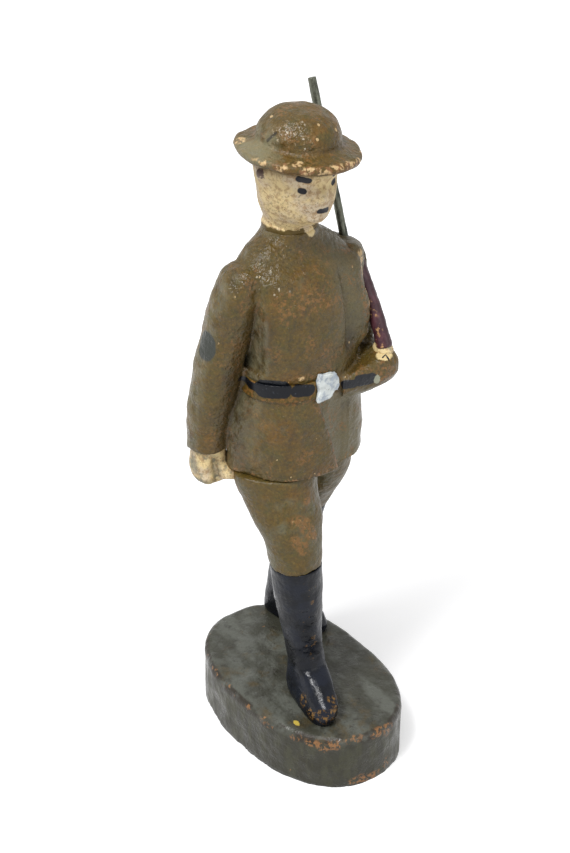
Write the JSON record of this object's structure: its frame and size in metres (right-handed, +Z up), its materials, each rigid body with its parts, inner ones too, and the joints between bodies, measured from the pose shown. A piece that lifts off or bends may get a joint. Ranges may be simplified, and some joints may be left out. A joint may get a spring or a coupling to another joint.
{
  "type": "toy soldier figure",
  "caption": "Marching toy soldier in a brimmed helmet, belted tunic and tall boots, with a sloped rifle, standing on a flat oval base.",
  "frame": {"origin": "centre of the oval base's flat underside", "axes": "+Z up, the figure marches towards -Y, and its left hand is at +X"},
  "size_m": [0.0209, 0.028, 0.0752],
  "materials": {
    "base_paint": "worn dark olive paint on composition",
    "boot_paint": "varnished blue-black paint on composition",
    "khaki_paint": "varnished khaki-brown paint on composition, chipped",
    "belt_paint": "blue-black paint",
    "silver_paint": "silver paint",
    "flesh_paint": "cream flesh paint, dirty",
    "helmet_paint": "varnished khaki-brown paint on composition, rubbed at the brim",
    "stock_paint": "maroon paint",
    "bare_steel": "tarnished bare wire"
  },
  "bodies": {
    "root": {"base": "base_paint", "right_boot": "boot_paint", "left_boot": "boot_paint", "right_breeches": "khaki_paint", "left_breeches": "khaki_paint", "tunic_front": "khaki_paint", "tunic_back": "khaki_paint", "collar": "khaki_paint", "belt": "belt_paint", "buckle": "silver_paint", "right_sleeve": "khaki_paint", "right_hand": "flesh_paint", "left_sleeve": "khaki_paint", "left_forearm": "khaki_paint", "left_hand": "flesh_paint", "head": "flesh_paint", "helmet": "helmet_paint", "rifle_stock": "stock_paint", "rifle_barrel": "bare_steel", "right_leg_wire": "bare_steel", "left_leg_wire": "bare_steel", "spine_wire": "bare_steel", "right_arm_wire": "bare_steel", "left_arm_wire": "bare_steel"}
  },
  "joints": []
}
